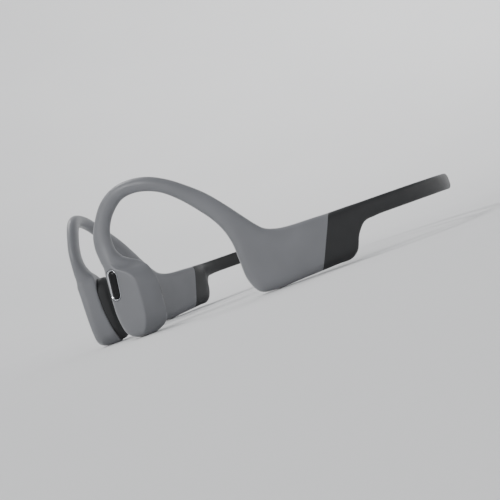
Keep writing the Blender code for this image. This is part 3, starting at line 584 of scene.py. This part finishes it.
def circuit_board(name):
    """Green solder mask with lighter copper runs under it."""
    material, tree, shader = new_material(name)
    place = add_node(tree, "ShaderNodeTexCoord")
    runs = add_node(tree, "ShaderNodeTexBrick", Scale=700.0)
    runs.inputs["Color1"].default_value = (0.012, 0.11, 0.045, 1)
    runs.inputs["Color2"].default_value = (0.02, 0.16, 0.07, 1)
    runs.inputs["Mortar"].default_value = (0.05, 0.24, 0.1, 1)
    tree.links.new(place.outputs["Object"], runs.inputs["Vector"])
    tree.links.new(runs.outputs["Color"], shader.inputs["Base Color"])
    roughened(tree, shader, noise(tree, 1200.0), 0.35, 0.55)
    bumped(tree, shader, ((runs.outputs["Fac"], 0.3, 0.02),))
    return material


LIGHT = silicone("light_silicone", (0.163, 0.167, 0.178), (0.2, 0.204, 0.216), 0.42, 0.3)
DARK = silicone("dark_silicone", (0.014, 0.0145, 0.0155), (0.03, 0.031, 0.032), 0.45, 0.1)
GLOSS = gloss_plastic("gloss_black", (0.008, 0.008, 0.009), 0.2, level=0.22)
MATT = gloss_plastic("moulded_black", (0.028, 0.028, 0.03), 0.42)
RING = brushed_metal("polished_ring", (0.62, 0.63, 0.66), 0.14)
TITANIUM = brushed_metal("titanium", (0.45, 0.43, 0.41), 0.32)
STEEL = brushed_metal("plated_steel", (0.56, 0.56, 0.58), 0.28)
COPPER = brushed_metal("wound_copper", (0.75, 0.36, 0.2), 0.3, (9000.0, 9000.0, 500.0))
FOIL = brushed_metal("battery_foil", (0.7, 0.71, 0.73), 0.36, (900.0, 900.0, 900.0))
GOLD = brushed_metal("gold_plate", (0.86, 0.62, 0.25), 0.22)
BOARD = circuit_board("solder_mask")
GUIDE = gloss_plastic("frosted_guide", (0.62, 0.64, 0.67), 0.4)


# ---------------------------------------------------------------- camera, light and floor
def make_camera():
    """The camera at the photograph's viewing angle, given as azimuth, elevation, roll and distance."""
    azimuth, elevation, roll = math.radians(61.1), math.radians(-0.6), math.radians(-19.7)
    target, distance = Vector((0, -0.0034, 0.0149)), 0.342
    level_out = Vector((math.sin(azimuth), -math.cos(azimuth), 0))
    back = level_out * math.cos(elevation) + Vector((0, 0, math.sin(elevation)))
    level = Vector((math.cos(azimuth), math.sin(azimuth), 0))
    up = back.cross(level)
    right = level * math.cos(roll) + up * math.sin(roll)
    top = up * math.cos(roll) - level * math.sin(roll)
    camera = bpy.data.objects.new("camera", bpy.data.cameras.new("camera"))
    bpy.context.scene.collection.objects.link(camera)
    turned = Matrix((right, top, back)).transposed().to_4x4()
    camera.matrix_world = Matrix.Translation(target + back * distance) @ turned
    camera.data.sensor_width = 36.0
    camera.data.lens = 67.6
    camera.data.clip_start = 0.005
    bpy.context.scene.camera = camera


def make_light(name, direction, angle, strength):
    """A large soft light that shines from a direction, seen as a disc of some degrees."""
    light = bpy.data.lights.new(name, "SUN")
    light.angle = math.radians(angle)
    light.energy = strength
    lamp = bpy.data.objects.new(name, light)
    bpy.context.scene.collection.objects.link(lamp)
    lamp.rotation_mode = "QUATERNION"
    lamp.rotation_quaternion = Vector(direction).to_track_quat("Z", "Y")


def make_floor():
    """A pale floor that curves up into a wall all round, so gently that no horizon shows."""
    flat, reach, rise, power = 0.45, 2.0, 0.85, 2.2
    below = 0.1 * MM
    stops = np.linspace(0, 1, 22)
    profile = [(0.0, 0.0), (flat / 2, 0.0), *((flat + (reach - flat) * t, rise * t**power) for t in stops)]
    bm = bmesh.new()
    verts = [bm.verts.new((r, 0, z - below)) for r, z in profile]
    edges = [bm.edges.new(pair) for pair in zip(verts, verts[1:])]
    bmesh.ops.spin(
        bm, geom=verts + edges, cent=(0, 0, 0), axis=(0, 0, 1), angle=2 * math.pi, steps=72, use_merge=True
    )
    bmesh.ops.remove_doubles(bm, verts=bm.verts, dist=WELD)
    mesh = finished(bm)
    material, tree, shader = new_material("studio_paper")
    paper = ((0.3, (0.76, 0.76, 0.765)), (0.7, (0.79, 0.79, 0.79)))
    tone = ramp(tree, noise(tree, 3.0), paper)
    tree.links.new(tone, shader.inputs["Base Color"])
    shader.inputs["Roughness"].default_value = 0.9
    shader.inputs["Specular IOR Level"].default_value = 0.1
    mesh.materials.append(material)
    mesh.shade_smooth()
    floor = bpy.data.objects.new("studio_floor", mesh)
    bpy.context.scene.collection.objects.link(floor)


def make_studio():
    make_floor()
    world = bpy.data.worlds.new("studio")
    bpy.context.scene.world = world
    world.use_nodes = True
    sky = world.node_tree.nodes["Background"]
    sky.inputs["Color"].default_value = (0.95, 0.97, 1.0, 1)
    sky.inputs["Strength"].default_value = 0.52
    make_light("key", (0.2, -1.0, 0.4), 24.0, 4.0)
    make_light("rim", (-0.6, -0.1, 0.9), 30.0, 1.4)


make_camera()
make_studio()


# ---------------------------------------------------------------- light skin over pod, hook and case
def shifted(row, along):
    return (row[0] + along, row[1], row[2] + along, *row[3:])


def places(rings, to_point):
    return [np.array([to_point(*place) for place in ring]) for ring in rings]


def skin_mesh():
    """One silicone skin from the pod's sole, up over the ear and down to the seam behind the case."""
    fine = [row[0] for row in refined([np.array([row]) for row in POD])]
    pod = places([pod_section(row) for row in fine], pod_point)
    rows = [*HOOK, *CASE[:-1], shifted(CASE[-1], -SEAM_WIDTH)]
    rails = places([rail_section(row) for row in rows], arm_point)
    carried_on = refined([pod[-1 - RING_STEPS], pod[-1], *rails])[RING_STEPS + 1 :]
    lip = places([rail_section(CASE[-1], SEAM_DEPTH)], arm_point)
    return ring_mesh(pod + carried_on + lip)


def outline_cutter(outline, low, high, to_point):
    """A solid with a flat outline of (a, b) pairs, from low to high across it."""
    return ring_mesh([[to_point(a, b, level) for a, b in outline] for level in (low, high)])


def pod_face_point(s, z, n):
    return pod_point(s, n, z)


def under_point(across, s, z):
    return arm_point(s, CASE_MIDDLE + across, z)


def cut_button_pocket(mesh):
    pocket = slot_outline(POCKET_SIZE, (BUTTON_S, BUTTON_Z), BUTTON_TILT)
    return cut(mesh, outline_cutter(pocket, POCKET_FLOOR, POCKET_OPEN, pod_face_point))


def cut_underside(mesh):
    """The openings under the right case for the volume keys, the light and the charging inlet."""
    slots = [(KEY_SLOT, s) for s in KEY_S.values()]
    slots += [(CHARGE_SLOT, CHARGE_S), (LIGHT_SLOT, LIGHT_S)]
    for size, s in slots:
        outline = slot_outline(size, (0, s), count=32)
        mesh = cut(mesh, outline_cutter(outline, BELOW, SLOT_DEPTH, under_point))
    return mesh


def make_skins():
    whole = skin_mesh()
    port = slot_outline((2 * PORT_RADIUS, 2 * PORT_RADIUS + 0.01), (PORT_S, PORT_N), count=24)
    ported = cut(whole.copy(), outline_cutter(port, BELOW, PORT_DEPTH, pod_point))
    meshes = {"left": cut_button_pocket(ported.copy()), "right": mirrored(cut_underside(ported))}
    for side, mesh in meshes.items():
        hidden = [f"{side}_{name}" for name in ("pod_shell", "hook_sleeve", "case_shell", "case_lid")]
        add_piece(f"{side}_skin", mesh, f"{side}_arm", LIGHT, hidden)
    return whole


# ---------------------------------------------------------------- dark cover and contact pad
def inset_outline(outline, distance):
    """A closed outline moved inwards by a distance."""
    ahead, behind = np.roll(outline, -1, axis=0), np.roll(outline, 1, axis=0)
    along = ahead - behind
    along /= np.linalg.norm(along, axis=1)[:, None]
    inward = np.stack([along[:, 1], -along[:, 0]], axis=1)
    middle = outline.mean(axis=0)
    if ((middle - outline[0]) @ inward[0]) < 0:
        inward = -inward
    return outline + inward * distance


def cover_outline():
    """The cover's outline as (s, z) pairs, from the middle of its top by way of its rear."""
    fronts = [(front, z) for z, front, _ in COVER]
    rears = [(rear, z) for z, _, rear in COVER]
    top = (sum(COVER[-1][1:]) / 2, COVER[-1][0] + COVER_PAST_TOP)
    low = (sum(COVER[0][1:]) / 2, COVER[0][0] - COVER_PAST_LOW)
    cage = np.array([top, *reversed(rears), low, *fronts])
    wrapped = [point[None, :] for point in (*cage[-2:], *cage, *cage[:2])]
    closed = refined(wrapped, RING_STEPS)[2 * RING_STEPS :]
    loop = [tuple(point[0]) for point in closed[: RING_STEPS * len(cage)]]
    outline = evenly(loop, COVER_POINTS)
    for _ in range(COVER_SMOOTHING):
        outline = (np.roll(outline, 1, axis=0) + 2 * outline + np.roll(outline, -1, axis=0)) / 4
    return outline


def rim_height(z):
    return float(np.interp(z, [row[0] for row in POD], [row[5] for row in POD]))


def flat_ring(outline, n):
    """A ring of places on the pod, all at one n, from (s, z) pairs."""
    return [pod_point(s, n, z) for s, z in outline]


def cover_mesh():
    """A cup from its inner face to its lip in the shell, then over its rounded face to the raised pad."""
    outline = cover_outline()
    rings = [flat_ring(inset_outline(outline, inset), n) for inset, n in COVER_INSIDE]
    for inset, lift in COVER_LIP:
        rings.append([pod_point(s, rim_height(z) + lift, z) for s, z in inset_outline(outline, inset)])
    rings += [flat_ring(inset_outline(outline, inset), n) for inset, n in COVER_SIDE]
    for inset, n in PAD_SIDE:
        rings.append(flat_ring(slot_outline(PAD_SIZE, PAD_MIDDLE, count=COVER_POINTS, inset=inset), n))
    return ring_mesh(rings)


def make_covers():
    mesh = cover_mesh()
    for side, shape in (("left", mesh), ("right", mirrored(mesh))):
        hidden = (f"{side}_pod_cover", f"{side}_contact_pad")
        add_piece(f"{side}_pod_face", shape, f"{side}_arm", DARK, hidden)


# ---------------------------------------------------------------- dark boot and neckband
def band_mesh():
    """The left half of the dark sleeve, from the seam behind the case to the neckband's middle."""
    count = round((ARM_END - BOOT[-1][0]) / BAND_STEP)
    stops = [BOOT[-1][0] + (ARM_END - BOOT[-1][0]) * k / count for k in range(1, count + 1)]
    plain = [(s, BAND_TOP, s, BAND_LOW, BAND_HALF, -BAND_HALF, 3.0) for s in stops]
    lip = places([rail_section(BOOT[0], SEAM_DEPTH, BAND_POINTS)], arm_point)
    boot = [shifted(BOOT[0], SEAM_WIDTH), *BOOT[1:]]
    rings = places([rail_section(row, 0.0, BAND_POINTS) for row in boot], arm_point)
    tail = places([rail_section(row, 0.0, BAND_POINTS) for row in plain], arm_point)
    return ring_mesh(lip + refined(rings, BAND_STEPS) + tail)


def strand_mesh(side, kind):
    """The strands inside one half of the sleeve: the arm's own, and its half of the neckband's."""
    bm = bmesh.new()
    bm.from_mesh(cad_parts[f"neckband_{kind}"].data)
    bmesh.ops.remove_doubles(bm, verts=bm.verts, dist=WELD)
    kept = (1 if side == "left" else -1, 0, 0)
    everything = [*bm.verts, *bm.edges, *bm.faces]
    bmesh.ops.bisect_plane(bm, geom=everything, plane_co=(0, 0, 0), plane_no=kept, clear_inner=True)
    bmesh.ops.holes_fill(bm, edges=[edge for edge in bm.edges if edge.is_boundary])
    bm.from_mesh(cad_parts[f"{side}_band_{kind}"].data)
    bmesh.ops.remove_doubles(bm, verts=bm.verts, dist=WELD)
    return finished(bm)


def bend(piece):
    """Bakes a piece's placement into its mesh; places on the arm either side of the hinge are worked out
    but not used.
    """
    near = arm_point(HINGE_S + BEND_LENGTH / 2, 0, BAND_TOP)
    far = arm_point(HINGE_S - BEND_LENGTH / 2, 0, BAND_TOP)
    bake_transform(piece)


def make_band():
    """Each half of the sleeve, with its wire and its leads, runs from its arm to the neckband's middle.

    The left half stands for the neckband's own nodes too.
    """
    mesh = band_mesh()
    strands = (("wire", TITANIUM, "titanium"), ("leads", MATT, "lead_jacket"))
    for side, shape in (("left", mesh), ("right", mirrored(mesh))):
        parts = [(f"{side}_band", "sleeve", shape, DARK, "dark_silicone")]
        for kind, *finish in strands:
            parts.append((f"{side}_core_{kind}", kind, strand_mesh(side, kind), *finish))
        for name, kind, part, material, slot in parts:
            hidden = [f"{side}_band_{kind}"]
            if side == "left":
                hidden.append(f"neckband_{kind}")
            bend(add_piece(name, part, None, material, hidden))


# ---------------------------------------------------------------- multifunction button
def surface_of(mesh):
    """Gives the height n of the skin over a place (s, z) of the pod's outer face."""
    bm = bmesh.new()
    bm.from_mesh(mesh)
    tree = BVHTree.FromBMesh(bm)
    bm.free()
    outboard = Vector(pod_point(0, 1, 0) - pod_point(0, 0, 0)).normalized()

    def height(s, z):
        distance = tree.ray_cast(Vector(pod_point(s, OUTSIDE, z)), -outboard)[3]
        return OUTSIDE - distance / MM

    return height


def button_rings(side, height, count=96):
    """Rings round the button from a list of (inset from the ring's outline, height above the skin)."""
    rings = []
    for inset, lift in side:
        outline = slot_outline(RING_SIZE, (BUTTON_S, BUTTON_Z), BUTTON_TILT, count, inset)
        rings.append([pod_point(s, height(s, z) + lift, z) for s, z in outline])
    return rings


def make_button(whole):
    height = surface_of(whole)
    ring = ring_mesh(button_rings(RING_SIDE, height), looped=True)
    add_piece("left_button_bezel", ring, "left_arm", RING, ("left_button_ring",), 50.0)
    cap = ring_mesh(button_rings(CAP_SIDE, height))
    hidden = ("left_multifunction_button",)
    add_piece("left_button_cap", cap, "multifunction_button", GLOSS, hidden, 60.0)


# ---------------------------------------------------------------- under the right case
def add_under(name, node, body, size, s, side, material, slot):
    """A rounded piece that fills an opening under the right case."""
    rings = []
    for inset, z in side:
        rings.append([under_point(a, b, z) for a, b in slot_outline(size, (0, s), inset=inset)])
    add_piece(name, mirrored(ring_mesh(rings)), body, material, (node,), 60.0)


def make_underside():
    """The volume keys, the charging inlet with its two pins, and the light."""
    for key, s in KEY_S.items():
        node = f"right_{key}_button"
        add_under(f"right_{key}_key", node, f"{key}_button", KEY_SIZE, s, KEY_SIDE, GLOSS, "black_plastic")
    inlet = (INLET_SIZE, CHARGE_S, INLET_SIDE, MATT, "black_plastic")
    add_under("right_inlet", "right_charge_base", "right_arm", *inlet)
    for number, way in ((1, 0.5), (2, -0.5)):
        pin = (PIN_SIZE, CHARGE_S + PIN_SPACING * way, PIN_SIDE, GOLD, "gold")
        add_under(f"right_inlet_pin_{number}", f"right_charge_contact_{number}", "right_arm", *pin)
    lens = (LENS_SIZE, LIGHT_S, LENS_SIDE, GUIDE, "light_guide")
    add_under("right_light_lens", "right_light_guide", "right_arm", *lens)


# ---------------------------------------------------------------- CAD pieces that stay
KEPT = {
    TITANIUM: ("hook_wire",),
    MATT: ("hook_leads", "coil_frame", "volume_down_switch", "volume_up_switch"),
    COPPER: ("voice_coil",),
    STEEL: (
        "spring_plate",
        "yoke",
        "top_plate",
        "magnet",
        "microphone",
        "button_dome",
        "shield_can",
        "charge_magnet_1",
        "charge_magnet_2",
    ),
    FOIL: ("battery",),
    BOARD: ("battery_board", "button_board", "main_board"),
}


def finish_kept_nodes():
    """Better materials on the CAD pieces that stay, which are sealed inside."""
    by_name = {name: material for material, names in KEPT.items() for name in names}
    for node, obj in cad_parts.items():
        plain = node.removeprefix("left_").removeprefix("right_")
        if plain in by_name:
            for slot in obj.material_slots:
                slot.material = by_name[plain]


WHOLE_SKIN = make_skins()
make_covers()
make_band()
make_button(WHOLE_SKIN)
make_underside()
finish_kept_nodes()
